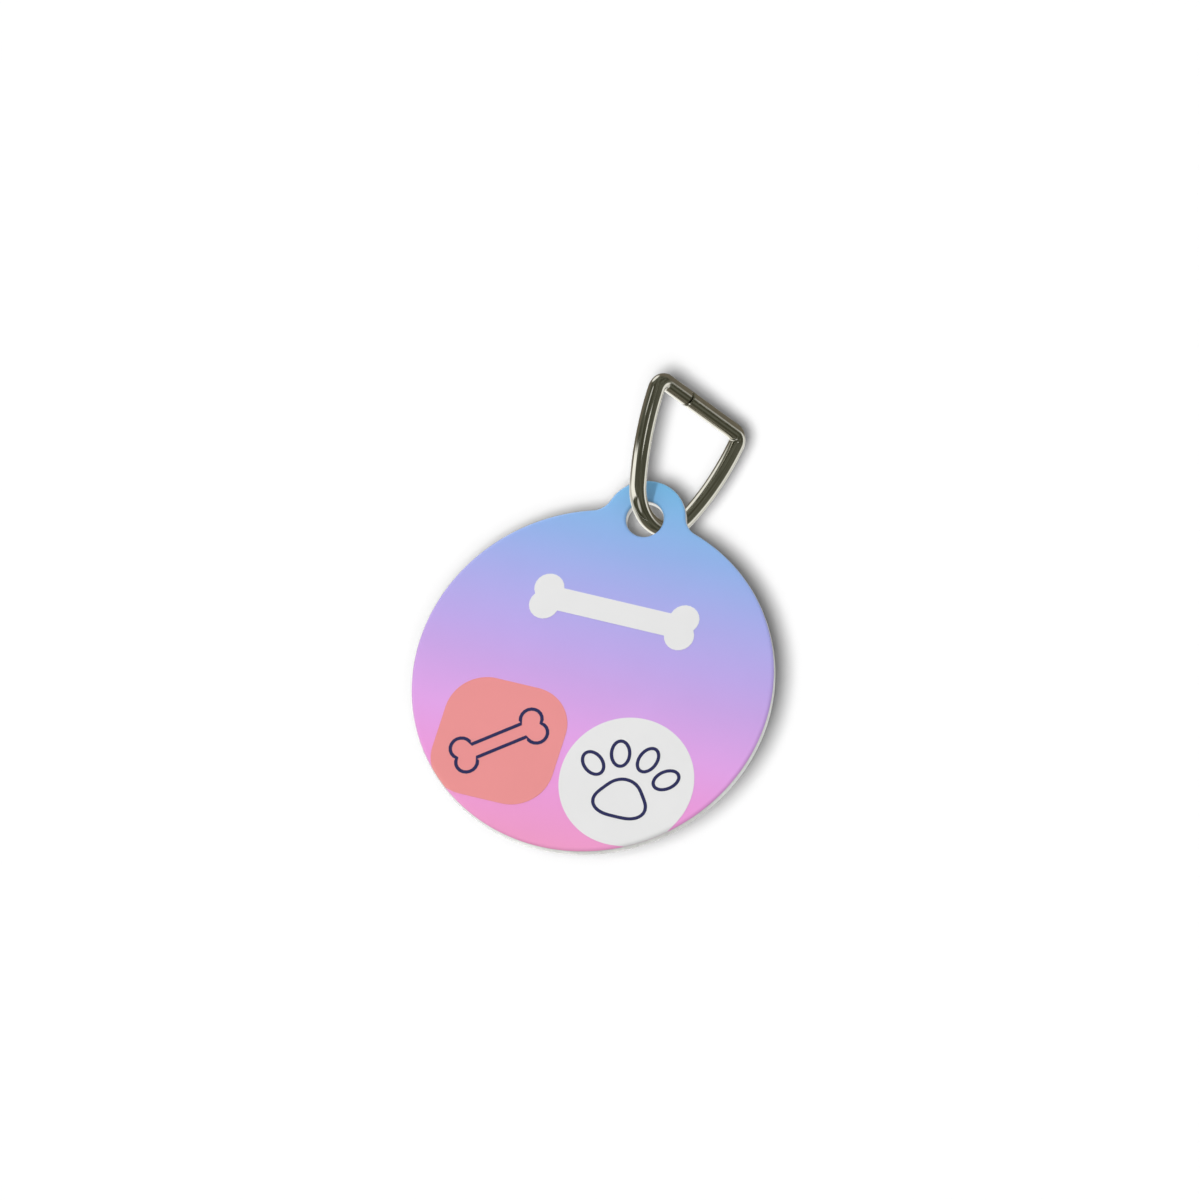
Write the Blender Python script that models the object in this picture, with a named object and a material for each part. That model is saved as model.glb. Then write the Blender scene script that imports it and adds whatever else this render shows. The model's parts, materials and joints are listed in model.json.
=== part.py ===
"""Round pet tag with a printed face, hanging on a bent wire ring.

Units are metres and +Z is up. The part hangs: the origin is the underside of the ring's
straight bar, where whatever holds the tag bears on the wire. The tag's printed face looks
along -Y.
"""
import math

import bmesh
import bpy
from mathutils import Euler, Vector

MM = 0.001

# Tag plate
DISC_RADIUS = 15.0 * MM
TAG_THICKNESS = 1.0 * MM
EDGE_ROUND = 0.15 * MM
HOLE_BELOW_RIM = 0.4 * MM
TAB_RIM = 1.85 * MM
TAB_FILLET = 1.8 * MM

# Wire ring
WIRE_DIAMETER = 1.4 * MM
BAR_HALF = 5.5 * MM
RING_HEIGHT = 10.75 * MM
RING_BOTTOM_RADIUS = 3.67 * MM
LEG_RADIUS = 22.9 * MM
CORNER_BEND = 0.85 * MM
SPLIT_GAP = 0.2 * MM
SPLIT_FROM_MIDDLE = 1.8 * MM

# How the ring stands to the tag
RING_TURN = math.radians(60.0)
RING_LEAN = math.radians(5.4)
WIRE_SLIDE = 0.8 * MM
WIRE_ACROSS = 0.13 * MM
HOLE_CLEARANCE = 0.45 * MM
SEAT_GAP = 0.3 * MM

# Coats and ink, each a thin layer on the one below
COAT_THICKNESS = 0.05 * MM
INK_THICKNESS = 0.03 * MM
PRINT_MARGIN = 0.1 * MM
LINE_WIDTH = 0.28 * MM

# Bone in light ink above the middle
BONE_LENGTH = 14.2 * MM
BONE_HEIGHT = 4.0 * MM
BONE_KNOB = 1.25 * MM
BONE_SHAFT = 2.0 * MM
BONE_RISE = 6.1 * MM

# Badges below the middle
ROUND_BADGE_RADIUS = 5.6 * MM
ROUND_BADGE_X = 5.4 * MM
ROUND_BADGE_Z = -7.9 * MM
SQUARE_BADGE_SIDE = 10.4 * MM
SQUARE_BADGE_CORNER = 3.4 * MM
SQUARE_BADGE_GAP = 0.5 * MM
SQUARE_BADGE_Z = -7.0 * MM

# Paw print on the round badge and small bone on the square one
PAW_PAD_WIDTH = 4.3 * MM
PAW_PAD_DEPTH = 3.3 * MM
PAW_TOE_WIDTH = 1.5 * MM
PAW_TOE_LENGTH = 2.2 * MM
PAW_TOE_REACH = 4.05 * MM
PAW_TOE_SPREAD = math.radians(34.0)
PAW_TOES = 4
PAW_PAD_LOBE = 0.10
PAW_DROP = 1.65 * MM
SMALL_BONE_LENGTH = 8.0 * MM
SMALL_BONE_HEIGHT = 3.1 * MM
SMALL_BONE_KNOB = 0.9 * MM
SMALL_BONE_SHAFT = 1.25 * MM
SMALL_BONE_TILT = math.radians(38.0)

# Fineness of the curves
DISC_STEPS = 88
TAB_STEPS = 30
FILLET_STEPS = 7
HOLE_STEPS = 36
LEG_STEPS = 12
BOTTOM_STEPS = 20
CORNER_STEPS = 7
MARK_STEPS = 24
WIRE_ROUNDNESS = 4
WELD_DISTANCE = 0.001 * MM

# Sizes that follow
WIRE_RADIUS = WIRE_DIAMETER / 2
HOLE_RADIUS = (WIRE_DIAMETER / math.sin(RING_TURN) + TAG_THICKNESS / math.tan(RING_TURN)) / 2 + HOLE_CLEARANCE
TAB_RADIUS = HOLE_RADIUS + TAB_RIM
HOLE_HEIGHT = DISC_RADIUS - HOLE_BELOW_RIM
WIRE_RISE = HOLE_CLEARANCE - SEAT_GAP


def clear_scene():
    for item in list(bpy.data.objects):
        bpy.data.objects.remove(item, do_unlink=True)


def make_collection(name):
    made = bpy.data.collections.new(name)
    bpy.context.scene.collection.children.link(made)
    return made


def make_material(name, colour, roughness, metallic=0.0):
    made = bpy.data.materials.new(name)
    made.use_nodes = True
    shader = made.node_tree.nodes["Principled BSDF"]
    shader.inputs["Base Color"].default_value = (*colour, 1.0)
    shader.inputs["Roughness"].default_value = roughness
    shader.inputs["Metallic"].default_value = metallic
    return made


def arc(centre, radius, start, end, steps):
    """Points along an arc in a plane, both ends included."""
    points = []
    for i in range(steps + 1):
        angle = start + (end - start) * i / steps
        points.append((centre[0] + radius * math.cos(angle), centre[1] + radius * math.sin(angle)))
    return points


def tag_outline(inset):
    """Disc with its tab, as x and height from the disc's centre, drawn anticlockwise."""
    disc = DISC_RADIUS - inset
    tab = TAB_RADIUS - inset
    fillet = TAB_FILLET + inset
    to_disc = disc + fillet
    to_tab = tab + fillet
    up = (to_disc ** 2 - to_tab ** 2 + HOLE_HEIGHT ** 2) / (2 * HOLE_HEIGHT)
    out = math.sqrt(to_disc ** 2 - up ** 2)
    disc_angle = math.atan2(up, out)
    tab_angle = math.atan2(up - HOLE_HEIGHT, out)
    points = arc((0, HOLE_HEIGHT), tab, tab_angle, math.pi - tab_angle, TAB_STEPS)
    left = arc((-out, up), fillet, -tab_angle, -disc_angle, FILLET_STEPS)
    points += left[1:-1]
    points += arc((0, 0), disc, math.pi - disc_angle, 2 * math.pi + disc_angle, DISC_STEPS)
    right = arc((out, up), fillet, math.pi + disc_angle, math.pi + tab_angle, FILLET_STEPS)
    points += right[1:-1]
    return points


def circle(centre, radius, steps):
    return arc(centre, radius, 0.0, 2 * math.pi, steps)[:-1]


def rounded_square(centre, side, corner):
    points = []
    reach = side / 2 - corner
    for i, (sx, sz) in enumerate(((1, 1), (-1, 1), (-1, -1), (1, -1))):
        middle = (centre[0] + sx * reach, centre[1] + sz * reach)
        points += arc(middle, corner, i * math.pi / 2, (i + 1) * math.pi / 2, MARK_STEPS // 4)
    return points


def bone_outline(length, height, knob, shaft):
    """Bone shape about its middle: two knobs at each end of a straight shaft."""
    knob_x = length / 2 - knob
    knob_z = height / 2 - knob
    notch = math.asin(-knob_z / knob)
    neck = math.pi - math.asin((shaft / 2 - knob_z) / knob)
    quarter = arc((knob_x, knob_z), knob, notch, neck, MARK_STEPS // 2)
    upper_left = [(-x, z) for x, z in reversed(quarter)]
    lower_left = [(-x, -z) for x, z in quarter[1:]]
    lower_right = [(x, -z) for x, z in reversed(quarter[1:])]
    return quarter + upper_left + lower_left + lower_right


def placed(points, centre, angle=0.0):
    c, s = math.cos(angle), math.sin(angle)
    return [(centre[0] + c * x - s * z, centre[1] + s * x + c * z) for x, z in points]


def offset_loop(points, distance):
    """The closed loop moved outward by distance, point by point along its normal."""
    moved = []
    count = len(points)
    for i, (x, z) in enumerate(points):
        before = Vector(points[i - 1])
        after = Vector(points[(i + 1) % count])
        along = (after - before).normalized()
        moved.append((x + along.y * distance, z - along.x * distance))
    return moved


def flat_curve(name, loops, thickness, rounding=0.0):
    data = bpy.data.curves.new(name, "CURVE")
    data.dimensions = "2D"
    data.fill_mode = "BOTH"
    data.extrude = thickness / 2 - rounding
    data.bevel_depth = rounding
    data.bevel_resolution = 1
    data.offset = -rounding
    for loop in loops:
        spline = data.splines.new("POLY")
        spline.points.add(len(loop) - 1)
        for point, (x, z) in zip(spline.points, loop):
            point.co = (x, z, 0.0, 1.0)
        spline.use_cyclic_u = True
    return data


def add_wire_ring(group, material):
    """The ring in its own plane: x along the bar, z up, the bar's underside at the origin."""
    top = WIRE_RADIUS
    bottom_centre = (0.0, top - RING_HEIGHT + RING_BOTTOM_RADIUS)
    corner = (BAR_HALF, top)
    gap = (corner[0] - bottom_centre[0], corner[1] - bottom_centre[1])
    reach = math.hypot(*gap)
    short = LEG_RADIUS - RING_BOTTOM_RADIUS
    along = (short ** 2 - LEG_RADIUS ** 2 + reach ** 2) / (2 * reach)
    aside = math.sqrt(short ** 2 - along ** 2)
    unit = (gap[0] / reach, gap[1] / reach)
    leg_centre = (bottom_centre[0] + unit[0] * along - unit[1] * aside,
                  bottom_centre[1] + unit[1] * along + unit[0] * aside)
    bend_z = top - CORNER_BEND
    bend_x = leg_centre[0] + math.sqrt((LEG_RADIUS - CORNER_BEND) ** 2 - (bend_z - leg_centre[1]) ** 2)
    leg_start = math.atan2(bend_z - leg_centre[1], bend_x - leg_centre[0])
    leg_end = math.atan2(bottom_centre[1] - leg_centre[1], bottom_centre[0] - leg_centre[0])
    half = arc((bend_x, bend_z), CORNER_BEND, math.pi / 2, leg_start, CORNER_STEPS)
    half += arc(leg_centre, LEG_RADIUS, leg_start, leg_end, LEG_STEPS)[1:]
    half += arc(bottom_centre, RING_BOTTOM_RADIUS, leg_end, -math.pi / 2, BOTTOM_STEPS // 2)[1:]
    mirrored = [(-x, z) for x, z in reversed(half[:-1])]
    split = SPLIT_FROM_MIDDLE
    path = [(-split + SPLIT_GAP / 2, top)] + half + mirrored + [(-split - SPLIT_GAP / 2, top)]

    data = bpy.data.curves.new("hanging_ring", "CURVE")
    data.dimensions = "3D"
    data.bevel_depth = WIRE_RADIUS
    data.bevel_resolution = WIRE_ROUNDNESS
    data.use_fill_caps = True
    spline = data.splines.new("POLY")
    spline.points.add(len(path) - 1)
    for point, (x, z) in zip(spline.points, path):
        point.co = (x, 0.0, z, 1.0)
    data.materials.append(material)
    piece = bpy.data.objects.new("hanging_ring", data)
    piece.rotation_euler = (RING_LEAN, 0.0, RING_TURN)
    group.objects.link(piece)


def ring_to_world(x, z):
    return Euler((RING_LEAN, 0.0, RING_TURN)).to_matrix() @ Vector((x, 0.0, z))


def wire_in_hole():
    """Where the wire's middle line crosses the tag, a short way along the bottom arc."""
    angle = WIRE_SLIDE / RING_BOTTOM_RADIUS
    x = -RING_BOTTOM_RADIUS * math.sin(angle)
    z = WIRE_RADIUS - RING_HEIGHT + RING_BOTTOM_RADIUS * (1 - math.cos(angle))
    return ring_to_world(x, z)


def make_mesh_object(source, group):
    """A mesh object that takes a curve object's name and place, its caps welded on."""
    bpy.context.view_layer.update()
    evaluated = source.evaluated_get(bpy.context.evaluated_depsgraph_get())
    mesh = bpy.data.meshes.new_from_object(evaluated)
    work = bmesh.new()
    work.from_mesh(mesh)
    bmesh.ops.remove_doubles(work, verts=work.verts, dist=WELD_DISTANCE)
    work.to_mesh(mesh)
    work.free()
    name = source.name
    made = bpy.data.objects.new(name, mesh)
    group.objects.link(made)
    made.matrix_world = source.matrix_world
    bpy.data.objects.remove(source, do_unlink=True)
    made.name = name
    return made


def hang_on(piece, pivot):
    """Parents a placed piece to the pivot and leaves it where it is."""
    place = piece.matrix_world.copy()
    piece.parent = pivot
    piece.matrix_parent_inverse = pivot.matrix_world.inverted()
    piece.matrix_world = place


def trim_to_outline(piece, cutter):
    cut = piece.modifiers.new("trim", "BOOLEAN")
    cut.operation = "INTERSECT"
    cut.solver = "EXACT"
    cut.object = cutter


def paw_marks():
    """Centre lines of the paw print's pad and toes, about the middle of the print."""
    pad = []
    for i in range(MARK_STEPS):
        angle = 2 * math.pi * i / MARK_STEPS
        lobe = 1.0 + PAW_PAD_LOBE * math.cos(3 * (angle - math.pi / 2))
        pad.append((PAW_PAD_WIDTH / 2 * lobe * math.cos(angle), PAW_PAD_DEPTH / 2 * lobe * math.sin(angle)))
    marks = [("paw_pad_line", pad)]
    for i in range(PAW_TOES):
        turn = (i - (PAW_TOES - 1) / 2) * PAW_TOE_SPREAD
        toe = [(PAW_TOE_WIDTH / 2 * x, PAW_TOE_LENGTH / 2 * z) for x, z in circle((0.0, 0.0), 1.0, MARK_STEPS)]
        centre = (PAW_TOE_REACH * math.sin(turn), PAW_TOE_REACH * math.cos(turn))
        marks.append((f"paw_toe_line_{i + 1}", placed(toe, centre, -turn)))
    return marks


def main():
    clear_scene()
    group = make_collection("pet_tag")
    cutters = make_collection("cutters")

    nickel = make_material("nickel_wire", (0.60, 0.59, 0.55), 0.18, 1.0)
    aluminium = make_material("aluminium", (0.66, 0.67, 0.67), 0.40, 1.0)
    white_coat = make_material("white_coat", (0.82, 0.82, 0.81), 0.30)
    sky_ink = make_material("sky_to_pink_ink", (0.60, 0.40, 0.82), 0.35)
    light_ink = make_material("light_ink", (0.79, 0.80, 0.79), 0.35)
    coral_ink = make_material("coral_ink", (0.84, 0.29, 0.28), 0.35)
    navy_ink = make_material("navy_ink", (0.021, 0.023, 0.107), 0.35)

    add_wire_ring(group, nickel)

    pivot = bpy.data.objects.new("tag_swing_axis", None)
    pivot.empty_display_size = WIRE_DIAMETER
    pivot.location = wire_in_hole()
    group.objects.link(pivot)
    disc_centre = pivot.location - Vector((WIRE_ACROSS, 0.0, WIRE_RISE + HOLE_HEIGHT))

    def layer(name, loops, back_face, thickness, material, rounding=0.0):
        """A layer whose back lies at back_face behind the tag's middle plane."""
        data = flat_curve(name, loops, thickness, rounding)
        data.materials.append(material)
        piece = bpy.data.objects.new(name, data)
        group.objects.link(piece)
        piece.rotation_euler = (math.pi / 2, 0.0, 0.0)
        piece.location = disc_centre + Vector((0.0, back_face - thickness / 2, 0.0))
        return piece

    hole = circle((0.0, HOLE_HEIGHT), HOLE_RADIUS, HOLE_STEPS)
    face_loops = [tag_outline(EDGE_ROUND), hole]
    back = TAG_THICKNESS / 2
    core_back = back - COAT_THICKNESS
    face = back - TAG_THICKNESS
    ground_back = face + INK_THICKNESS
    core_front = ground_back + COAT_THICKNESS
    mark_front = face - INK_THICKNESS

    pieces = [
        layer("tag_core", [tag_outline(0.0), hole], core_back, core_back - core_front, aluminium, EDGE_ROUND),
        layer("front_coat", face_loops, core_front, COAT_THICKNESS, white_coat),
        layer("back_coat", face_loops, back, COAT_THICKNESS, white_coat),
        layer("print_ground", face_loops, ground_back, INK_THICKNESS, sky_ink),
    ]

    bone = bone_outline(BONE_LENGTH, BONE_HEIGHT, BONE_KNOB, BONE_SHAFT)
    bone = placed(bone, (0.0, BONE_RISE))
    pieces.append(layer("bone_mark", [bone], face, INK_THICKNESS, light_ink))

    round_middle = (ROUND_BADGE_X, ROUND_BADGE_Z)
    square_x = ROUND_BADGE_X - ROUND_BADGE_RADIUS - SQUARE_BADGE_GAP - SQUARE_BADGE_SIDE / 2
    square_middle = (square_x, SQUARE_BADGE_Z)
    round_loop = circle(round_middle, ROUND_BADGE_RADIUS, 2 * MARK_STEPS)
    square_loop = rounded_square(square_middle, SQUARE_BADGE_SIDE, SQUARE_BADGE_CORNER)
    round_badge = layer("round_badge", [round_loop], face, INK_THICKNESS, light_ink)
    square_badge = layer("square_badge", [square_loop], face, INK_THICKNESS, coral_ink)
    edge = layer("print_edge", [tag_outline(EDGE_ROUND + PRINT_MARGIN)], back, 2 * TAG_THICKNESS, navy_ink)
    cutter = make_mesh_object(edge, cutters)
    cutter.hide_render = True
    cutter.display_type = "WIRE"
    for curve in (round_badge, square_badge):
        badge = make_mesh_object(curve, group)
        trim_to_outline(badge, cutter)
        pieces.append(badge)

    for name, loop in paw_marks():
        line = placed(loop, (round_middle[0], round_middle[1] - PAW_DROP))
        ribbon = [offset_loop(line, LINE_WIDTH / 2), offset_loop(line, -LINE_WIDTH / 2)]
        pieces.append(layer(name, ribbon, mark_front, INK_THICKNESS, navy_ink))

    small = bone_outline(SMALL_BONE_LENGTH, SMALL_BONE_HEIGHT, SMALL_BONE_KNOB, SMALL_BONE_SHAFT)
    small = placed(small, square_middle, SMALL_BONE_TILT)
    ribbon = [offset_loop(small, LINE_WIDTH / 2), offset_loop(small, -LINE_WIDTH / 2)]
    pieces.append(layer("small_bone_line", ribbon, mark_front, INK_THICKNESS, navy_ink))

    bpy.context.view_layer.update()
    for piece in pieces:
        hang_on(piece, pivot)


main()
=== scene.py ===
"""Looks of the round pet tag on its wire ring: surfaces, fine meshes, light and camera.

Units are metres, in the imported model's own frame: +Z up, the printed face towards -Y,
the origin at the underside of the ring's straight bar.
"""
import json
import math

import bmesh
import bpy
from mathutils import Euler, Matrix, Vector

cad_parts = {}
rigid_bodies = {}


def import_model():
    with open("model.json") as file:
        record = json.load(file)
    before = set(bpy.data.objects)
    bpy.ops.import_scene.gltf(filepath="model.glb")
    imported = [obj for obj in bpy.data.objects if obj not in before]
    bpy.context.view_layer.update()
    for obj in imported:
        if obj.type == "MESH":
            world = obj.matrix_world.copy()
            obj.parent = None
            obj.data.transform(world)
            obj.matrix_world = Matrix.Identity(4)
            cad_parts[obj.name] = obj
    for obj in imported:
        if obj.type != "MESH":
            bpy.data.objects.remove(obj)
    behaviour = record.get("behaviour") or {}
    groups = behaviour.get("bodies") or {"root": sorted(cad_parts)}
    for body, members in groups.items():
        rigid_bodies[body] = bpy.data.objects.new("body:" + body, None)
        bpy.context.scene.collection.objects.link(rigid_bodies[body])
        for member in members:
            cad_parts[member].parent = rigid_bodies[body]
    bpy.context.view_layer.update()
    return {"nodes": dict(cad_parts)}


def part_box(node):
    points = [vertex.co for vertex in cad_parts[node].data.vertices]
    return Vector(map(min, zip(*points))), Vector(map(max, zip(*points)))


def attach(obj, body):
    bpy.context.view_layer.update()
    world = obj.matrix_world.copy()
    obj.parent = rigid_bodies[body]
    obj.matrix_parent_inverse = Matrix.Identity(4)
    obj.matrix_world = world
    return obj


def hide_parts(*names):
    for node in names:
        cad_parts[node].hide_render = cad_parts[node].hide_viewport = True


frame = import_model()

MM = 0.001

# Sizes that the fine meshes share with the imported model
DISC_RADIUS = 15.0 * MM
TAG_THICKNESS = 1.0 * MM
HOLE_RADIUS = 1.547 * MM
HOLE_BELOW_RIM = 0.4 * MM
TAB_RADIUS = 3.397 * MM
TAB_FILLET = 1.8 * MM
WIRE_RADIUS = 0.7 * MM
BAR_HALF = 5.5 * MM
RING_HEIGHT = 10.75 * MM
RING_BOTTOM_RADIUS = 3.67 * MM
LEG_RADIUS = 22.9 * MM
CORNER_BEND = 0.85 * MM
SPLIT_GAP = 0.2 * MM
SPLIT_FROM_MIDDLE = 1.8 * MM
RING_TURN = math.radians(60.0)
RING_LEAN = math.radians(5.4)
HOLE_HEIGHT = DISC_RADIUS - HOLE_BELOW_RIM

# Edge of the plate and the layers that wrap over it
FRONT_ROLL = 0.30 * MM
BACK_BREAK = 0.10 * MM
COAT = 0.05 * MM
INK = 0.03 * MM

# Where coat and ground ink stop on the rolled edge, and how near the rim a badge ends
COAT_REACH = math.radians(80.0)
INK_REACH = math.radians(66.0)
PATCH_RIM = 0.03 * MM

# The share of its depth that a layer keeps up to its end, and the hair of room between layers
LIP = 0.05
FILM = 0.001 * MM

# Badges, about the disc's centre
ROUND_BADGE_RADIUS = 5.6 * MM
ROUND_BADGE_X = 5.4 * MM
ROUND_BADGE_Z = -7.9 * MM
SQUARE_BADGE_SIDE = 10.4 * MM
SQUARE_BADGE_CORNER = 3.4 * MM
SQUARE_BADGE_GAP = 0.5 * MM
SQUARE_BADGE_Z = -7.0 * MM

# Paw print on the round badge
LINE_WIDTH = 0.28 * MM
PAW_PAD_WIDTH = 4.3 * MM
PAW_PAD_DEPTH = 3.3 * MM
PAW_PAD_LOBE = 0.10
PAW_PAD_LOBES = 3
PAW_TOE_WIDTH = 1.5 * MM
PAW_TOE_LENGTH = 2.2 * MM
PAW_TOE_REACH = 4.05 * MM
PAW_TOE_SPREAD = math.radians(34.0)
PAW_TOES = 4
PAW_DROP = 1.65 * MM

# Fineness of the meshes
DISC_STEPS = 320
TAB_STEPS = 90
FILLET_STEPS = 14
HOLE_STEPS = 96
ROLL_STEPS = 6
ROLL_END_STEPS = 3
LEG_STEPS = 48
BOTTOM_STEPS = 64
CORNER_STEPS = 18
WIRE_SIDES = 10
PATCH_STEPS = 288
PATCH_RINGS = 26
LINE_STEPS = 120

# The wire's eased cut ends, how near points are joined, and from which angle an edge looks sharp
END_EASE = 0.08 * MM
WELD_DISTANCE = 0.0005 * MM
SHARP_EDGE = math.radians(40.0)

# Colours as they look on screen, 0 to 255
NICKEL_COLOUR = (206, 204, 194)
ALUMINIUM_COLOUR = (240, 241, 240)
COAT_COLOUR = (232, 232, 230)
LIGHT_INK_COLOUR = (231, 231, 231)
CORAL_INK_COLOUR = (236, 146, 146)
NAVY_INK_COLOUR = (40, 42, 92)

# The print's fade: height in mm about the disc's centre, and the colour on screen
FADE = (
    (-15.0, (241, 154, 200)),
    (-9.0, (236, 154, 221)),
    (-5.0, (226, 162, 232)),
    (0.0, (202, 164, 232)),
    (2.7, (190, 167, 235)),
    (8.0, (167, 173, 236)),
    (12.0, (146, 178, 235)),
    (18.0, (119, 190, 236)),
)

# Noises of the surfaces: how fine per metre, how detailed, and how stretched where they make lines
NICKEL_CLOUD = (900.0, 4.0)
NICKEL_SPOTS = (2600.0, 5.0)
NICKEL_LINES = (1500.0, 6.0, (2.0, 2.0, 0.35))
CUT_LINES = (1200.0, 4.0, (3.0, 0.15, 3.0))
CUT_CLOUD = (700.0, 3.0)
BAKED_GLOSS = (260.0, 4.0)
BAKED_PEEL = (1300.0, 3.0)
BAKED_CLOUD = (180.0, 5.0)

# The middle part of a noise, which is spread over the ranges below
NOISE_LOW = 0.3
NOISE_HIGH = 0.7

# What a colour is multiplied by, and the roughness
NICKEL_SHADE = (0.90, 1.0)
NICKEL_ROUGHNESS = (0.05, 0.12)
CUT_SHADE = (0.86, 1.0)
CUT_ROUGHNESS = (0.34, 0.50)
COAT_SHADE = (0.965, 1.0)
COAT_ROUGHNESS = (0.30, 0.42)
INK_SHADE = (0.975, 1.0)
GROUND_SHADE = (0.98, 1.0)
INK_ROUGHNESS = (0.34, 0.44)

# Bumps, as depth and strength, the metal's share in the cut side, and the glaze on coat and ink
NICKEL_BUMP = (0.006 * MM, 0.18)
CUT_BUMP = (0.01 * MM, 0.35)
BAKED_BUMP = (0.004 * MM, 0.25)
CUT_METAL = 0.7
GLAZE = 0.25
GLAZE_ROUGHNESS = 0.20

# A sky brighter on one side and one key lamp, their ways along the camera's right, up and back
SKY_WAY = (-0.72, 0.42, 0.56)
SKY_DIM = 0.20
SKY_BRIGHT = 0.92
KEY_WAY = (-0.36, 0.42, 0.80)
KEY_DISTANCE = 0.5
KEY_SIZE = 0.04
KEY_POWER = 0.92

# The pale wall close behind
WALL_BEHIND = 0.033
WALL_SIZE = 0.40
WALL_TONE = 0.18

# The wall's own lamps as size, power and way: one for the shadow's edge, one for its haze
WALL_LAMP_DISTANCE = 1.5
WALL_LAMPS = (
    (0.085, 82.0, (-0.028, -0.014, 1.0)),
    (0.16, 34.0, (-0.020, -0.022, 1.0)),
)

# The floor well below, and how much lighter it is to the eye
FLOOR_Z = -0.60
FLOOR_SIZE = 3.0
FLOOR_COLOUR = (0.92, 0.92, 0.91, 1.0)
FLOOR_GLOW = 0.42

# What polished metal mirrors, along the same three axes: first a dark, clouded room in front
ROOM_DARKEST = (0.070, 0.070, 0.046, 1.0)
ROOM_LIGHTEST = (0.150, 0.152, 0.118, 1.0)
ROOM_CLOUD_FINENESS = 2.4
ROOM_CLOUD_DETAIL = 3.0
ROOM_CLOUD_STEP = (0.35, 0.65)
FRONT_STEP = (-0.20, 0.0)

# Then a dim one behind, with a pale band across it
DIM_BEHIND = (0.20, 0.18, 0.14, 1.0)
PALE_BEHIND = (0.85, 0.85, 0.83, 1.0)
PALE_UP = (-0.80, 0.05)
PALE_SOFT = 0.07

# The window on the left of that room
LAMP_TINT = (1.0, 1.0, 0.97)
WINDOW_LIGHT = 1.45
WINDOW_LEFT_STEP = (0.0, 0.2)
WINDOW_UP = (-0.45, 0.19)
WINDOW_UP_SOFT = 0.04
WINDOW_TILT = (0.0, 0.37, 0.93)
WINDOW_BACK = (-0.16, 0.61)
WINDOW_BACK_SOFT = 0.05

# Round lamps and pale things in that room, as way, half width in degrees and brightness
ROOM_PATCHES = (
    ((0.94, -0.22, -0.27), 13.0, 1.20),
    ((-0.43, 0.84, -0.33), 19.0, 1.30),
    ((-0.05, -0.68, 0.73), 13.0, 0.75),
    ((0.30, 0.10, 0.95), 6.0, 1.20),
    ((-0.62, 0.46, 0.63), 6.0, 0.90),
    ((-0.25, -0.46, -0.85), 26.0, 1.35),
)

# The share of a patch's half width over which it fades on both sides of its edge
ROOM_PATCH_SOFT = 0.25

# The camera, as the photograph sees the tag
FRAME_PIXELS = 1200
PIXELS_PER_MM = 12.233
DISC_PIXEL_X = 592.3
DISC_PIXEL_Y = 679.4
LENS = 600.0
SENSOR = 36.0
CLIP_NEAR = 0.01
CLIP_FAR = 10.0
CAMERA_RIGHT = Vector((0.9446, 0.1500, 0.2935))
CAMERA_UP = Vector((-0.2224, -0.3680, 0.9032))

core_low, core_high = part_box("tag_core")
back_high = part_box("back_coat")[1]
DISC_CENTRE = Vector(((core_low.x + core_high.x) / 2,
                      back_high.y - TAG_THICKNESS / 2,
                      core_low.z + DISC_RADIUS))
FACE_Y = DISC_CENTRE.y - TAG_THICKNESS / 2


def arc(centre, radius, start, end, steps):
    """Points along part of a circle, both ends included."""
    points = []
    for i in range(steps + 1):
        angle = start + (end - start) * i / steps
        points.append((centre[0] + radius * math.cos(angle), centre[1] + radius * math.sin(angle)))
    return points


def tag_outline(inset):
    """Disc with its tab, as x and height from the disc's centre, drawn anticlockwise."""
    disc = DISC_RADIUS - inset
    tab = TAB_RADIUS - inset
    fillet = TAB_FILLET + inset
    to_disc = disc + fillet
    to_tab = tab + fillet
    up = (to_disc ** 2 - to_tab ** 2 + HOLE_HEIGHT ** 2) / (2 * HOLE_HEIGHT)
    out = math.sqrt(to_disc ** 2 - up ** 2)
    disc_angle = math.atan2(up, out)
    tab_angle = math.atan2(up - HOLE_HEIGHT, out)
    points = arc((0, HOLE_HEIGHT), tab, tab_angle, math.pi - tab_angle, TAB_STEPS)
    points += arc((-out, up), fillet, -tab_angle, -disc_angle, FILLET_STEPS)[1:-1]
    points += arc((0, 0), disc, math.pi - disc_angle, 2 * math.pi + disc_angle, DISC_STEPS)
    points += arc((out, up), fillet, math.pi + disc_angle, math.pi + tab_angle, FILLET_STEPS)[1:-1]
    return points


def hole_outline(inset):
    """The hole's edge, which grows as the inset does."""
    return arc((0, HOLE_HEIGHT), HOLE_RADIUS + inset, 0.0, 2 * math.pi, HOLE_STEPS)[:-1]


def finish_mesh(name, work, material):
    """Turns a finished edit mesh into an object with smooth faces and sharp edges."""
    mesh = bpy.data.meshes.new(name)
    bmesh.ops.recalc_face_normals(work, faces=work.faces)
    work.to_mesh(mesh)
    work.free()
    mesh.shade_smooth()
    mesh.set_sharp_from_angle(angle=SHARP_EDGE)
    mesh.materials.append(material)
    made = bpy.data.objects.new(name, mesh)
    bpy.context.scene.collection.objects.link(made)
    return made


def add_row(work, points, y):
    """Mesh points at depth y, from x and height about the disc's centre."""
    return [work.verts.new((DISC_CENTRE.x + x, y, DISC_CENTRE.z + z)) for x, z in points]


def bridge(work, lower, upper):
    """Faces between two closed rows of mesh points."""
    count = len(lower)
    for i in range(count):
        j = (i + 1) % count
        work.faces.new((lower[i], lower[j], upper[j], upper[i]))


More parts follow.
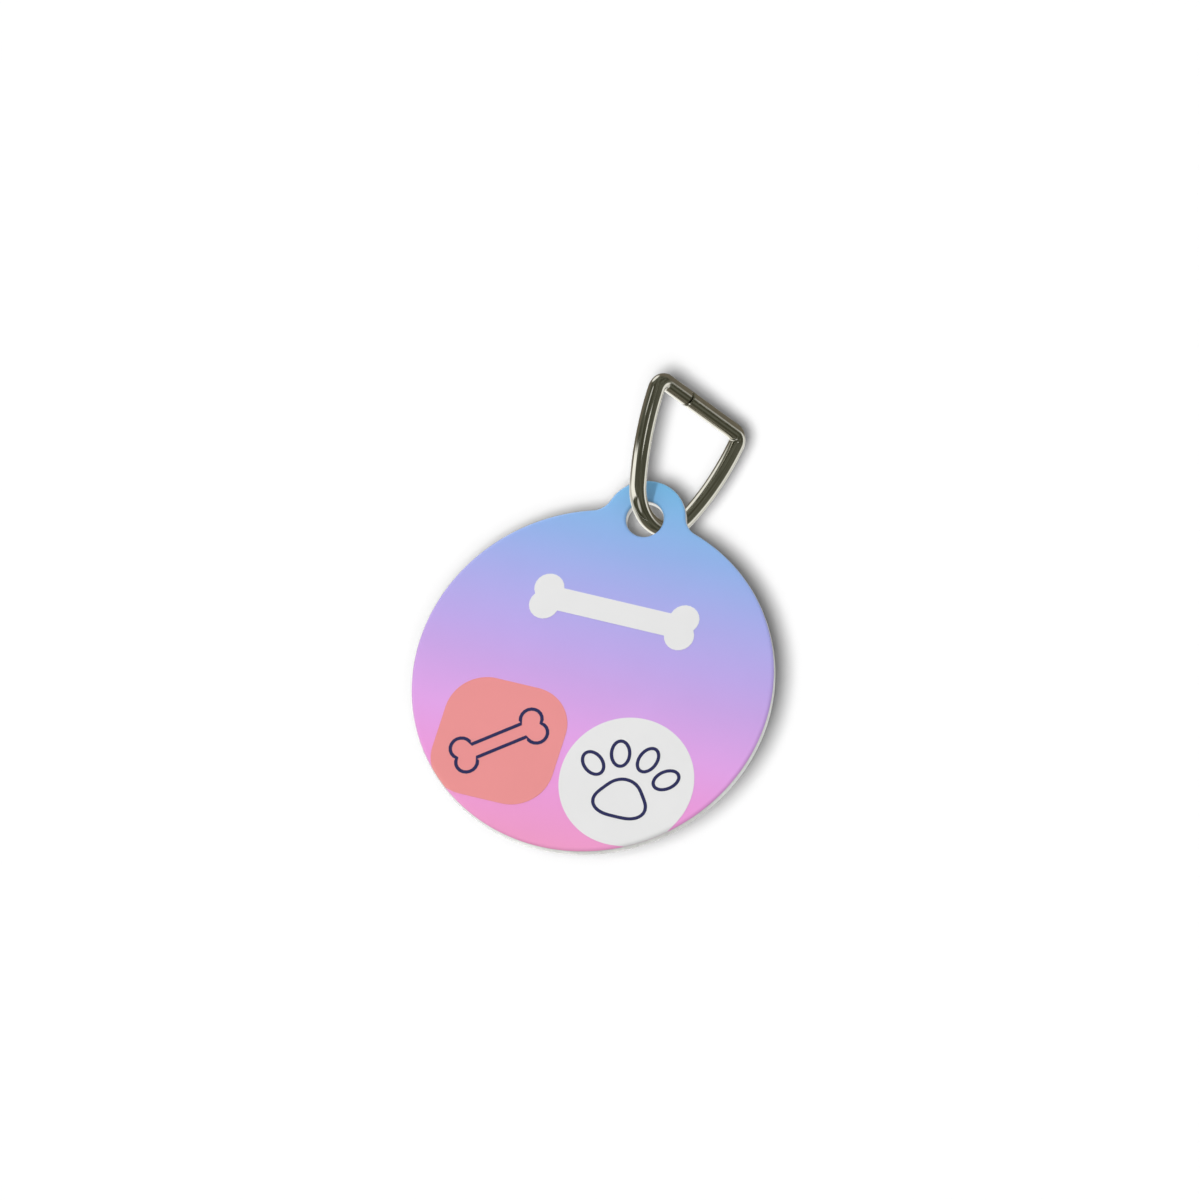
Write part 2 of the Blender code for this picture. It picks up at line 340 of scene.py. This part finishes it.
def plate_solid(name, levels, material):
    """A plate with its hole, whose edges pass through levels of (inset, y), front to back."""
    work = bmesh.new()
    stacks = []
    for outline in (tag_outline, hole_outline):
        rows = [add_row(work, outline(inset), y) for inset, y in levels]
        for lower, upper in zip(rows[:-1], rows[1:]):
            bridge(work, lower, upper)
        stacks.append(rows)
    for k in (0, -1):
        edges = []
        for rows in stacks:
            row = rows[k]
            for i in range(len(row)):
                edges.append(work.edges.get((row[i], row[(i + 1) % len(row)])))
        bmesh.ops.triangle_fill(work, use_beauty=True, edges=edges)
    return finish_mesh(name, work, material)


def skin(inset_angle, depth):
    """A point of the rolled front edge as (inset, y), depth below the outer skin."""
    s, c = math.sin(inset_angle), math.cos(inset_angle)
    inset = FRONT_ROLL * (1 - s) + depth * s
    y = FACE_Y + FRONT_ROLL * (1 - c) + depth * c
    return inset, y


def tapered(depth, angle, reach):
    """A layer's depth, thinning to a feather edge where it stops on the roll."""
    if angle >= reach:
        return 0.0
    return depth * (LIP + (1 - LIP) * math.cos(math.pi / 2 * angle / reach))


def wrapped_layer(name, outer, inner, reach, material):
    """A thin layer over the face and down the roll as far as reach, closed on its under side."""
    angles = [reach * i / ROLL_STEPS for i in range(ROLL_STEPS + 1)]
    top = [skin(angle, tapered(outer, angle, reach)) for angle in angles]
    under = [skin(angle, tapered(inner, angle, reach) + FILM) for angle in reversed(angles)]
    return plate_solid(name, top + under, material)


def core_plate(material):
    """The bare plate: its front follows the layers, its side is straight, its back edge broken."""
    depth = INK + COAT + 2 * FILM
    levels = []
    for i in range(ROLL_STEPS + 1):
        angle = COAT_REACH * i / ROLL_STEPS
        levels.append(skin(angle, tapered(depth, angle, COAT_REACH) + 2 * FILM))
    for i in range(1, ROLL_END_STEPS + 1):
        angle = COAT_REACH + (math.pi / 2 - COAT_REACH) * i / ROLL_END_STEPS
        levels.append(skin(angle, 0.0))
    back_y = FACE_Y + TAG_THICKNESS - COAT
    for i in range(ROLL_STEPS + 1):
        angle = math.pi / 2 * i / ROLL_STEPS
        inset = BACK_BREAK * (1 - math.cos(angle))
        levels.append((inset, back_y - BACK_BREAK * (1 - math.sin(angle))))
    return plate_solid("tag_plate", levels, material)


def back_layer(material):
    """The coat on the plate's back, with an eased edge."""
    back_y = FACE_Y + TAG_THICKNESS
    levels = [
        (BACK_BREAK, back_y - COAT + FILM),
        (BACK_BREAK, back_y - COAT / 2),
        (BACK_BREAK + COAT / 2, back_y),
    ]
    return plate_solid("back_enamel", levels, material)


def disc_reach(centre, angle, inset):
    """How far it is from centre, along angle, to the disc's rim less inset."""
    along = centre[0] * math.cos(angle) + centre[1] * math.sin(angle)
    radius = DISC_RADIUS - inset
    away = centre[0] ** 2 + centre[1] ** 2
    return -along + math.sqrt(along ** 2 + radius ** 2 - away)


def round_badge_reach(angle):
    """How far it is from the round badge's middle to its edge, the same along every angle."""
    return ROUND_BADGE_RADIUS


def square_badge_reach(angle):
    """How far it is from the rounded square badge's middle to its edge, along angle."""
    c, s = abs(math.cos(angle)), abs(math.sin(angle))
    half = SQUARE_BADGE_SIDE / 2
    flat = half - SQUARE_BADGE_CORNER
    to_side = half / max(c, s)
    if min(c, s) * to_side <= flat:
        return to_side
    along = flat * (c + s)
    return along + math.sqrt(along ** 2 - 2 * flat ** 2 + SQUARE_BADGE_CORNER ** 2)


def patch_depth(x, z, lift):
    """Where the print's skin lies along y at a point of the face, raised by lift."""
    inset = DISC_RADIUS - math.hypot(x, z)
    if inset >= FRONT_ROLL:
        return FACE_Y - lift
    s = 1 - max(inset, 0.0) / FRONT_ROLL
    c = math.sqrt(1 - s ** 2)
    return FACE_Y + FRONT_ROLL * (1 - c) - lift * c


def patch_point(place, lift):
    """A point of a badge's skin, from x and height about the disc's centre."""
    x, z = place
    return (DISC_CENTRE.x + x, patch_depth(x, z, lift), DISC_CENTRE.z + z)


def ink_patch(name, centre, reach, material):
    """A badge that bleeds over the disc's rolled edge; reach gives its radius along an angle."""
    work = bmesh.new()
    skins = []
    for lift in (INK, FILM):
        hub = work.verts.new(patch_point(centre, lift))
        rows = []
        for ring in range(1, PATCH_RINGS + 1):
            # The rings lie closer together toward the badge's edge
            share = 1 - (1 - ring / PATCH_RINGS) ** 2
            row = []
            for i in range(PATCH_STEPS):
                angle = 2 * math.pi * i / PATCH_STEPS
                length = share * min(reach(angle), disc_reach(centre, angle, PATCH_RIM))
                place = (centre[0] + length * math.cos(angle), centre[1] + length * math.sin(angle))
                row.append(work.verts.new(patch_point(place, lift)))
            rows.append(row)
        for i in range(PATCH_STEPS):
            work.faces.new((hub, rows[0][i], rows[0][(i + 1) % PATCH_STEPS]))
        for lower, upper in zip(rows[:-1], rows[1:]):
            bridge(work, lower, upper)
        skins.append(rows[-1])
    bridge(work, skins[0], skins[1])
    return finish_mesh(name, work, material)


def placed(points, centre, angle=0.0):
    """The points turned by angle and moved to centre."""
    c, s = math.cos(angle), math.sin(angle)
    return [(centre[0] + c * x - s * z, centre[1] + s * x + c * z) for x, z in points]


def offset_loop(points, distance):
    """The closed loop moved outward by distance, point by point along its normal."""
    moved = []
    count = len(points)
    for i, (x, z) in enumerate(points):
        along = (Vector(points[(i + 1) % count]) - Vector(points[i - 1])).normalized()
        moved.append((x + along.y * distance, z - along.x * distance))
    return moved


def paw_marks():
    """Centre lines of the paw print's pad and toes, by the node that each one refines."""
    middle = (ROUND_BADGE_X, ROUND_BADGE_Z - PAW_DROP)
    pad = []
    toe = []
    for i in range(LINE_STEPS):
        angle = 2 * math.pi * i / LINE_STEPS
        c, s = math.cos(angle), math.sin(angle)
        lobe = 1.0 + PAW_PAD_LOBE * math.cos(PAW_PAD_LOBES * (angle - math.pi / 2))
        pad.append((PAW_PAD_WIDTH / 2 * lobe * c, PAW_PAD_DEPTH / 2 * lobe * s))
        toe.append((PAW_TOE_WIDTH / 2 * c, PAW_TOE_LENGTH / 2 * s))
    marks = {"paw_pad_line": placed(pad, middle)}
    for i in range(PAW_TOES):
        turn = (i - (PAW_TOES - 1) / 2) * PAW_TOE_SPREAD
        centre = (PAW_TOE_REACH * math.sin(turn), PAW_TOE_REACH * math.cos(turn))
        marks[f"paw_toe_line_{i + 1}"] = placed(placed(toe, centre, -turn), middle)
    return marks


def ink_line(name, loop, back_y, material):
    """A raised line of ink along a closed loop, its upper edges eased."""
    half = LINE_WIDTH / 2
    profile = (
        (-half, back_y - FILM),
        (-half, back_y - INK / 2),
        (INK / 2 - half, back_y - INK),
        (half - INK / 2, back_y - INK),
        (half, back_y - INK / 2),
        (half, back_y - FILM),
    )
    work = bmesh.new()
    rows = [add_row(work, offset_loop(loop, offset), y) for offset, y in profile]
    for i, row in enumerate(rows):
        bridge(work, rows[i - 1], row)
    return finish_mesh(name, work, material)


def ring_path():
    """The ring's middle line in its own plane, from the bar's right bend round to its left one."""
    top = WIRE_RADIUS
    bottom_centre = (0.0, top - RING_HEIGHT + RING_BOTTOM_RADIUS)
    gap = (BAR_HALF - bottom_centre[0], top - bottom_centre[1])
    reach = math.hypot(*gap)
    short = LEG_RADIUS - RING_BOTTOM_RADIUS
    along = (short ** 2 - LEG_RADIUS ** 2 + reach ** 2) / (2 * reach)
    aside = math.sqrt(short ** 2 - along ** 2)
    unit = (gap[0] / reach, gap[1] / reach)
    leg_centre = (bottom_centre[0] + unit[0] * along - unit[1] * aside,
                  bottom_centre[1] + unit[1] * along + unit[0] * aside)
    bend_z = top - CORNER_BEND
    to_bend = LEG_RADIUS - CORNER_BEND
    bend_x = leg_centre[0] + math.sqrt(to_bend ** 2 - (bend_z - leg_centre[1]) ** 2)
    leg_start = math.atan2(bend_z - leg_centre[1], bend_x - leg_centre[0])
    leg_end = math.atan2(bottom_centre[1] - leg_centre[1], bottom_centre[0] - leg_centre[0])
    half = arc((bend_x, bend_z), CORNER_BEND, math.pi / 2, leg_start, CORNER_STEPS)
    half += arc(leg_centre, LEG_RADIUS, leg_start, leg_end, LEG_STEPS)[1:]
    half += arc(bottom_centre, RING_BOTTOM_RADIUS, leg_end, -math.pi / 2, BOTTOM_STEPS // 2)[1:]
    mirrored = [(-x, z) for x, z in reversed(half[:-1])]
    return half + mirrored


def wire_ring(material):
    """The bent wire, its two cut ends a hair apart on the bar and eased at the rim."""
    top = WIRE_RADIUS
    right = -SPLIT_FROM_MIDDLE + SPLIT_GAP / 2
    left = -SPLIT_FROM_MIDDLE - SPLIT_GAP / 2
    start = [(right, top), (right + END_EASE, top), (right + 2 * END_EASE, top)]
    end = [(left - 2 * END_EASE, top), (left - END_EASE, top), (left, top)]
    path = start + ring_path() + end
    data = bpy.data.curves.new("wire_ring", "CURVE")
    data.dimensions = "3D"
    data.bevel_depth = WIRE_RADIUS
    data.bevel_resolution = WIRE_SIDES
    data.use_fill_caps = True
    spline = data.splines.new("POLY")
    spline.points.add(len(path) - 1)
    for point, (x, z) in zip(spline.points, path):
        point.co = (x, 0.0, z, 1.0)
    for k in (0, -1):
        spline.points[k].radius = 1 - END_EASE / WIRE_RADIUS
    spline.use_smooth = True
    curve = bpy.data.objects.new("wire_ring_curve", data)
    bpy.context.scene.collection.objects.link(curve)
    bpy.context.view_layer.update()
    evaluated = curve.evaluated_get(bpy.context.evaluated_depsgraph_get())
    mesh = bpy.data.meshes.new_from_object(evaluated)
    work = bmesh.new()
    work.from_mesh(mesh)
    bmesh.ops.remove_doubles(work, verts=work.verts, dist=WELD_DISTANCE)
    turn = Euler((RING_LEAN, 0.0, RING_TURN)).to_matrix()
    for vertex in work.verts:
        vertex.co = turn @ vertex.co
    bpy.data.objects.remove(curve, do_unlink=True)
    return finish_mesh("wire_ring", work, material)


def linear(colour):
    """A colour given as it looks on screen, 0 to 255, as linear values by the sRGB curve."""
    values = []
    for channel in colour:
        share = channel / 255
        values.append(share / 12.92 if share <= 0.04045 else ((share + 0.055) / 1.055) ** 2.4)
    return (*values, 1.0)


def grey(value):
    return (value, value, value, 1.0)


class Nodes:
    """A material's node tree, with short ways to add and join nodes."""

    def __init__(self, name):
        self.material = bpy.data.materials.new(name)
        self.material.use_nodes = True
        self.tree = self.material.node_tree
        self.shader = self.tree.nodes["Principled BSDF"]
        self.place = self.tree.nodes.new("ShaderNodeTexCoord").outputs["Object"]

    def join(self, source, target):
        self.tree.links.new(source, target)

    def noise(self, scale, detail, stretch=(1.0, 1.0, 1.0)):
        mapping = self.tree.nodes.new("ShaderNodeMapping")
        mapping.inputs["Scale"].default_value = stretch
        self.join(self.place, mapping.inputs["Vector"])
        node = self.tree.nodes.new("ShaderNodeTexNoise")
        node.inputs["Scale"].default_value = scale
        node.inputs["Detail"].default_value = detail
        self.join(mapping.outputs["Vector"], node.inputs["Vector"])
        return node.outputs["Fac"]

    def spread(self, source, low, high, from_low=NOISE_LOW, from_high=NOISE_HIGH):
        """The source, evenly spread so that its given part fills low to high."""
        node = self.tree.nodes.new("ShaderNodeMapRange")
        node.inputs["From Min"].default_value = from_low
        node.inputs["From Max"].default_value = from_high
        node.inputs["To Min"].default_value = low
        node.inputs["To Max"].default_value = high
        self.join(source, node.inputs["Value"])
        return node.outputs["Result"]

    def shade_colour(self, colour, factor):
        """The colour multiplied by a varying factor, put on the shader."""
        node = self.tree.nodes.new("ShaderNodeMix")
        node.data_type = "RGBA"
        node.blend_type = "MULTIPLY"
        node.inputs["Factor"].default_value = 1.0
        if isinstance(colour, tuple):
            node.inputs["A"].default_value = colour
        else:
            self.join(colour, node.inputs["A"])
        tone = self.tree.nodes.new("ShaderNodeCombineColor")
        for channel in ("Red", "Green", "Blue"):
            self.join(factor, tone.inputs[channel])
        self.join(tone.outputs["Color"], node.inputs["B"])
        self.join(node.outputs["Result"], self.shader.inputs["Base Color"])

    def bump(self, height, distance, strength):
        node = self.tree.nodes.new("ShaderNodeBump")
        node.inputs["Distance"].default_value = distance
        node.inputs["Strength"].default_value = strength
        self.join(height, node.inputs["Height"])
        self.join(node.outputs["Normal"], self.shader.inputs["Normal"])


def nickel_wire():
    """Polished plate on drawn wire: fine upright lines, a cloudy polish and a few duller spots."""
    m = Nodes("nickel_wire")
    m.shader.inputs["Metallic"].default_value = 1.0
    m.shade_colour(linear(NICKEL_COLOUR), m.spread(m.noise(*NICKEL_CLOUD), *NICKEL_SHADE))
    m.join(m.spread(m.noise(*NICKEL_SPOTS), *NICKEL_ROUGHNESS), m.shader.inputs["Roughness"])
    m.bump(m.noise(*NICKEL_LINES), *NICKEL_BUMP)
    return m.material


def cut_aluminium():
    """The plate's die-cut side: part metal, part matt, with shear lines across its thickness."""
    m = Nodes("cut_aluminium")
    m.shader.inputs["Metallic"].default_value = CUT_METAL
    lines = m.noise(*CUT_LINES)
    m.shade_colour(linear(ALUMINIUM_COLOUR), m.spread(lines, *CUT_SHADE))
    m.join(m.spread(m.noise(*CUT_CLOUD), *CUT_ROUGHNESS), m.shader.inputs["Roughness"])
    m.bump(lines, *CUT_BUMP)
    return m.material


def baked_finish(m, colour, shade, roughness):
    """The baked surface that coat and ink share: faint orange peel, cloudy gloss and colour."""
    m.join(m.spread(m.noise(*BAKED_GLOSS), *roughness), m.shader.inputs["Roughness"])
    m.shader.inputs["Coat Weight"].default_value = GLAZE
    m.shader.inputs["Coat Roughness"].default_value = GLAZE_ROUGHNESS
    m.bump(m.noise(*BAKED_PEEL), *BAKED_BUMP)
    m.shade_colour(colour, m.spread(m.noise(*BAKED_CLOUD), *shade))


def white_coat():
    m = Nodes("white_coat")
    baked_finish(m, linear(COAT_COLOUR), COAT_SHADE, COAT_ROUGHNESS)
    return m.material


def plain_ink(name, colour):
    m = Nodes(name)
    baked_finish(m, linear(colour), INK_SHADE, INK_ROUGHNESS)
    return m.material


def fading_ink():
    """The ground of the print, which fades with height from pink to sky blue."""
    m = Nodes("fading_ink")
    split = m.tree.nodes.new("ShaderNodeSeparateXYZ")
    m.join(m.place, split.inputs["Vector"])
    low = DISC_CENTRE.z + FADE[0][0] * MM
    high = DISC_CENTRE.z + FADE[-1][0] * MM
    share = m.spread(split.outputs["Z"], 0.0, 1.0, low, high)
    ramp = m.tree.nodes.new("ShaderNodeValToRGB")
    band = ramp.color_ramp
    while len(band.elements) > 1:
        band.elements.remove(band.elements[-1])
    for i, (height, colour) in enumerate(FADE):
        position = (height - FADE[0][0]) / (FADE[-1][0] - FADE[0][0])
        stop = band.elements[0] if i == 0 else band.elements.new(position)
        stop.position = position
        stop.color = linear(colour)
    m.join(share, ramp.inputs["Fac"])
    baked_finish(m, ramp.outputs["Color"], GROUND_SHADE, INK_ROUGHNESS)
    return m.material


def dress(node, material):
    """Gives a CAD node that keeps its shape its finished material."""
    frame["nodes"][node].material_slots[0].material = material


def build_tag():
    coat = white_coat()
    light = plain_ink("light_ink", LIGHT_INK_COLOUR)
    coral = plain_ink("coral_ink", CORAL_INK_COLOUR)
    navy = plain_ink("navy_ink", NAVY_INK_COLOUR)
    square_x = ROUND_BADGE_X - ROUND_BADGE_RADIUS - SQUARE_BADGE_GAP - SQUARE_BADGE_SIDE / 2
    round_centre = (ROUND_BADGE_X, ROUND_BADGE_Z)
    square_centre = (square_x, SQUARE_BADGE_Z)

    core = core_plate(cut_aluminium())
    front = wrapped_layer("front_enamel", INK + FILM, INK + COAT, COAT_REACH, coat)
    back = back_layer(coat)
    ground = wrapped_layer("printed_ground", 0.0, INK, INK_REACH, fading_ink())
    round_badge = ink_patch("light_round_badge", round_centre, round_badge_reach, light)
    square_badge = ink_patch("coral_square_badge", square_centre, square_badge_reach, coral)
    made = [
        (core, "tag_core", "aluminium_core"),
        (front, "front_coat", "white_coat"),
        (back, "back_coat", "white_coat"),
        (ground, "print_ground", "sky_to_pink_ink"),
        (round_badge, "round_badge", "light_ink"),
        (square_badge, "square_badge", "coral_ink"),
    ]
    for node, loop in paw_marks().items():
        made.append((ink_line(node + "_ink", loop, FACE_Y - INK, navy), node, "navy_ink"))
    for piece, node, slot in made:
        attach(piece, "tag")
        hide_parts(node)
        # The wire's bend mirrors the studio, as it does in the photograph, and not this piece
        piece.visible_glossy = False
    dress("bone_mark", light)
    dress("small_bone_line", navy)


def build_ring():
    piece = wire_ring(nickel_wire())
    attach(piece, "ring")
    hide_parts("hanging_ring")


def aim(item, back, up):
    """Points an object's -Z along -back with its Y along up."""
    right = up.cross(back).normalized()
    true_up = back.cross(right).normalized()
    item.rotation_euler = Matrix((right, true_up, back)).transposed().to_euler()


def add_camera():
    """Adds the camera; gives the point it looks at and its right, up and back as a matrix."""
    right = CAMERA_RIGHT.normalized()
    back = right.cross(CAMERA_UP).normalized()
    up = back.cross(right)
    data = bpy.data.cameras.new("camera")
    data.lens = LENS
    data.sensor_width = SENSOR
    data.clip_start = CLIP_NEAR
    data.clip_end = CLIP_FAR
    camera = bpy.data.objects.new("camera", data)
    bpy.context.scene.collection.objects.link(camera)
    face = Vector((DISC_CENTRE.x, FACE_Y, DISC_CENTRE.z))
    aside = (FRAME_PIXELS / 2 - DISC_PIXEL_X) / PIXELS_PER_MM * MM
    rise = (DISC_PIXEL_Y - FRAME_PIXELS / 2) / PIXELS_PER_MM * MM
    target = face + right * aside + up * rise
    distance = FRAME_PIXELS / PIXELS_PER_MM * MM * LENS / SENSOR
    camera.location = target + back * distance
    aim(camera, back, up)
    bpy.context.scene.camera = camera
    return target, Matrix((right, up, back)).transposed()


def one_sided(name, colour, glow=0.0):
    """A matt surface, lighter to the eye by glow, and clear to eye and light from behind."""
    made = bpy.data.materials.new(name)
    made.use_nodes = True
    tree = made.node_tree
    shader = tree.nodes["Principled BSDF"]
    shader.inputs["Base Color"].default_value = colour
    shader.inputs["Roughness"].default_value = 1.0
    shader.inputs["Specular IOR Level"].default_value = 0.0
    path = tree.nodes.new("ShaderNodeLightPath")
    seen = tree.nodes.new("ShaderNodeMath")
    seen.operation = "MULTIPLY"
    seen.inputs[1].default_value = glow
    shader.inputs["Emission Color"].default_value = grey(1.0)
    tree.links.new(path.outputs["Is Camera Ray"], seen.inputs[0])
    tree.links.new(seen.outputs["Value"], shader.inputs["Emission Strength"])
    side = tree.nodes.new("ShaderNodeNewGeometry")
    clear = tree.nodes.new("ShaderNodeBsdfTransparent")
    mix = tree.nodes.new("ShaderNodeMixShader")
    tree.links.new(side.outputs["Backfacing"], mix.inputs["Fac"])
    tree.links.new(shader.outputs["BSDF"], mix.inputs[1])
    tree.links.new(clear.outputs["BSDF"], mix.inputs[2])
    tree.links.new(mix.outputs["Shader"], tree.nodes["Material Output"].inputs["Surface"])
    return made


def add_sheet(name, size, location, back, up, material):
    bpy.ops.mesh.primitive_plane_add(size=size)
    sheet = bpy.context.object
    sheet.name = name
    sheet.location = location
    sheet.visible_glossy = False
    aim(sheet, back, up)
    sheet.data.materials.append(material)
    return sheet


def add_stage(target, axes):
    """The wall behind the part and the floor below it; gives the wall."""
    up, back = axes.col[1], axes.col[2]
    wall_place = target - back * WALL_BEHIND
    wall_material = one_sided("wall", grey(WALL_TONE))
    wall = add_sheet("wall", WALL_SIZE, wall_place, back, up, wall_material)
    floor_place = Vector((target.x, target.y, FLOOR_Z))
    floor_material = one_sided("floor", FLOOR_COLOUR, FLOOR_GLOW)
    upright, inward = Vector((0, 0, 1)), Vector((0, 1, 0))
    add_sheet("floor", FLOOR_SIZE, floor_place, upright, inward, floor_material)
    return wall


def add_light(name, target, direction, distance, size, power, receivers):
    """A round lamp that shines at the target and lights only the receivers."""
    data = bpy.data.lights.new(name, "AREA")
    data.shape = "DISK"
    data.size = size
    data.energy = power
    light = bpy.data.objects.new(name, data)
    bpy.context.scene.collection.objects.link(light)
    direction = direction.normalized()
    light.location = target + direction * distance
    light.rotation_euler = direction.to_track_quat("Z", "Y").to_euler()
    light.light_linking.receiver_collection = receivers
    light.visible_glossy = False


def add_lamps(target, axes, wall):
    """The key for all but the wall, and the wall's own two lamps."""
    on_wall = bpy.data.collections.new("lit_by_wall_lamps")
    on_wall.objects.link(wall)
    on_part = bpy.data.collections.new("lit_by_key")
    for item in bpy.context.scene.objects:
        if item.type == "MESH" and item != wall:
            on_part.objects.link(item)
    key_way = axes @ Vector(KEY_WAY)
    add_light("key", target, key_way, KEY_DISTANCE, KEY_SIZE, KEY_POWER, on_part)
    for i, (size, power, way) in enumerate(WALL_LAMPS):
        wall_way = axes @ Vector(way)
        add_light(f"wall_lamp_{i + 1}", target, wall_way, WALL_LAMP_DISTANCE, size, power, on_wall)


class Sky:
    """The world's node tree, with short ways to shade it by direction."""

    def __init__(self, axes):
        world = bpy.data.worlds.new("studio")
        bpy.context.scene.world = world
        world.use_nodes = True
        self.tree = world.node_tree
        self.tree.nodes.clear()
        self.place = self.tree.nodes.new("ShaderNodeTexCoord").outputs["Generated"]
        self.axes = axes

    def toward(self, way):
        """How far the looked-at direction goes along a way given as right, up and back."""
        dot = self.tree.nodes.new("ShaderNodeVectorMath")
        dot.operation = "DOT_PRODUCT"
        dot.inputs[1].default_value = (self.axes @ Vector(way)).normalized()
        self.tree.links.new(self.place, dot.inputs[0])
        return dot.outputs["Value"]

    def step(self, source, low, high, kind="SMOOTHSTEP"):
        """0 to 1 as the source goes from low to high, smoothly or, with kind LINEAR, evenly."""
        node = self.tree.nodes.new("ShaderNodeMapRange")
        node.interpolation_type = kind
        node.inputs["From Min"].default_value = low
        node.inputs["From Max"].default_value = high
        self.tree.links.new(source, node.inputs["Value"])
        return node.outputs["Result"]

    def product(self, first, second):
        node = self.tree.nodes.new("ShaderNodeMath")
        node.operation = "MULTIPLY"
        self.tree.links.new(first, node.inputs[0])
        self.tree.links.new(second, node.inputs[1])
        return node.outputs["Value"]

    def band(self, source, ends, soft):
        """1 while the source is between the ends, fading over soft on both sides of each."""
        rise = self.step(source, ends[0] - soft, ends[0] + soft)
        fall = self.step(source, ends[1] + soft, ends[1] - soft)
        return self.product(rise, fall)

    def cone(self, way, degrees, soft):
        """1 within so many degrees of the way, fading over soft degrees on both sides of that."""
        outer = math.cos(math.radians(degrees + soft))
        inner = math.cos(math.radians(degrees - soft))
        return self.step(self.toward(way), outer, inner)

    def blend(self, factor, first, second):
        """The first colour where the factor is 0, the second where it is 1."""
        node = self.tree.nodes.new("ShaderNodeMix")
        node.data_type = "RGBA"
        self.tree.links.new(factor, node.inputs["Factor"])
        for socket, value in (("A", first), ("B", second)):
            if isinstance(value, tuple):
                node.inputs[socket].default_value = value
            else:
                self.tree.links.new(value, node.inputs[socket])
        return node.outputs["Result"]

    def room(self):
        """The dark front of the studio, clouded so that it mirrors as more than one tone."""
        cloud = self.tree.nodes.new("ShaderNodeTexNoise")
        cloud.inputs["Scale"].default_value = ROOM_CLOUD_FINENESS
        cloud.inputs["Detail"].default_value = ROOM_CLOUD_DETAIL
        self.tree.links.new(self.place, cloud.inputs["Vector"])
        share = self.step(cloud.outputs["Fac"], *ROOM_CLOUD_STEP)
        return self.blend(share, ROOM_DARKEST, ROOM_LIGHTEST)

    def background(self, colour):
        node = self.tree.nodes.new("ShaderNodeBackground")
        if isinstance(colour, tuple):
            node.inputs["Color"].default_value = colour
        else:
            self.tree.links.new(colour, node.inputs["Color"])
        return node.outputs["Background"]

    def choose(self, factor, first, second):
        """The first background where the factor is 0, the second where it is 1."""
        node = self.tree.nodes.new("ShaderNodeMixShader")
        self.tree.links.new(factor, node.inputs["Fac"])
        self.tree.links.new(first, node.inputs[1])
        self.tree.links.new(second, node.inputs[2])
        return node.outputs["Shader"]


def lamp_colour(brightness):
    return tuple(brightness * channel for channel in LAMP_TINT) + (1.0,)


def mirrored_studio(sky):
    """What polished metal mirrors: the room, its pale band, the window and the round patches."""
    upward = sky.toward((0, 1, 0))
    backward = sky.toward((0, 0, 1))
    behind = sky.blend(sky.band(upward, PALE_UP, PALE_SOFT), DIM_BEHIND, PALE_BEHIND)
    studio = sky.blend(sky.step(backward, *FRONT_STEP), behind, sky.room())
    left = sky.step(sky.toward((-1, 0, 0)), *WINDOW_LEFT_STEP)
    window = sky.product(sky.band(upward, WINDOW_UP, WINDOW_UP_SOFT),
                         sky.band(sky.toward(WINDOW_TILT), WINDOW_BACK, WINDOW_BACK_SOFT))
    studio = sky.blend(sky.product(left, window), studio, lamp_colour(WINDOW_LIGHT))
    for way, degrees, brightness in ROOM_PATCHES:
        patch = sky.cone(way, degrees, ROOM_PATCH_SOFT * degrees)
        studio = sky.blend(patch, studio, lamp_colour(brightness))
    return studio


def add_world(axes):
    """White to the eye, a soft sky to matt surfaces, and the studio to mirroring ones."""
    sky = Sky(axes)
    studio = mirrored_studio(sky)
    white = grey(1.0)
    share = sky.step(sky.toward(SKY_WAY), -1.0, 1.0, "LINEAR")
    even = sky.blend(share, grey(SKY_DIM), grey(SKY_BRIGHT))
    path = sky.tree.nodes.new("ShaderNodeLightPath")
    soft = sky.choose(path.outputs["Is Glossy Ray"], sky.background(even), sky.background(studio))
    clear = sky.choose(path.outputs["Is Transmission Ray"], soft, sky.background(white))
    final = sky.choose(path.outputs["Is Camera Ray"], clear, sky.background(white))
    out = sky.tree.nodes.new("ShaderNodeOutputWorld")
    sky.tree.links.new(final, out.inputs["Surface"])


def main():
    target, axes = add_camera()
    build_tag()
    build_ring()
    wall = add_stage(target, axes)
    add_lamps(target, axes, wall)
    add_world(axes)
    bpy.context.scene.view_settings.view_transform = "Standard"


main()
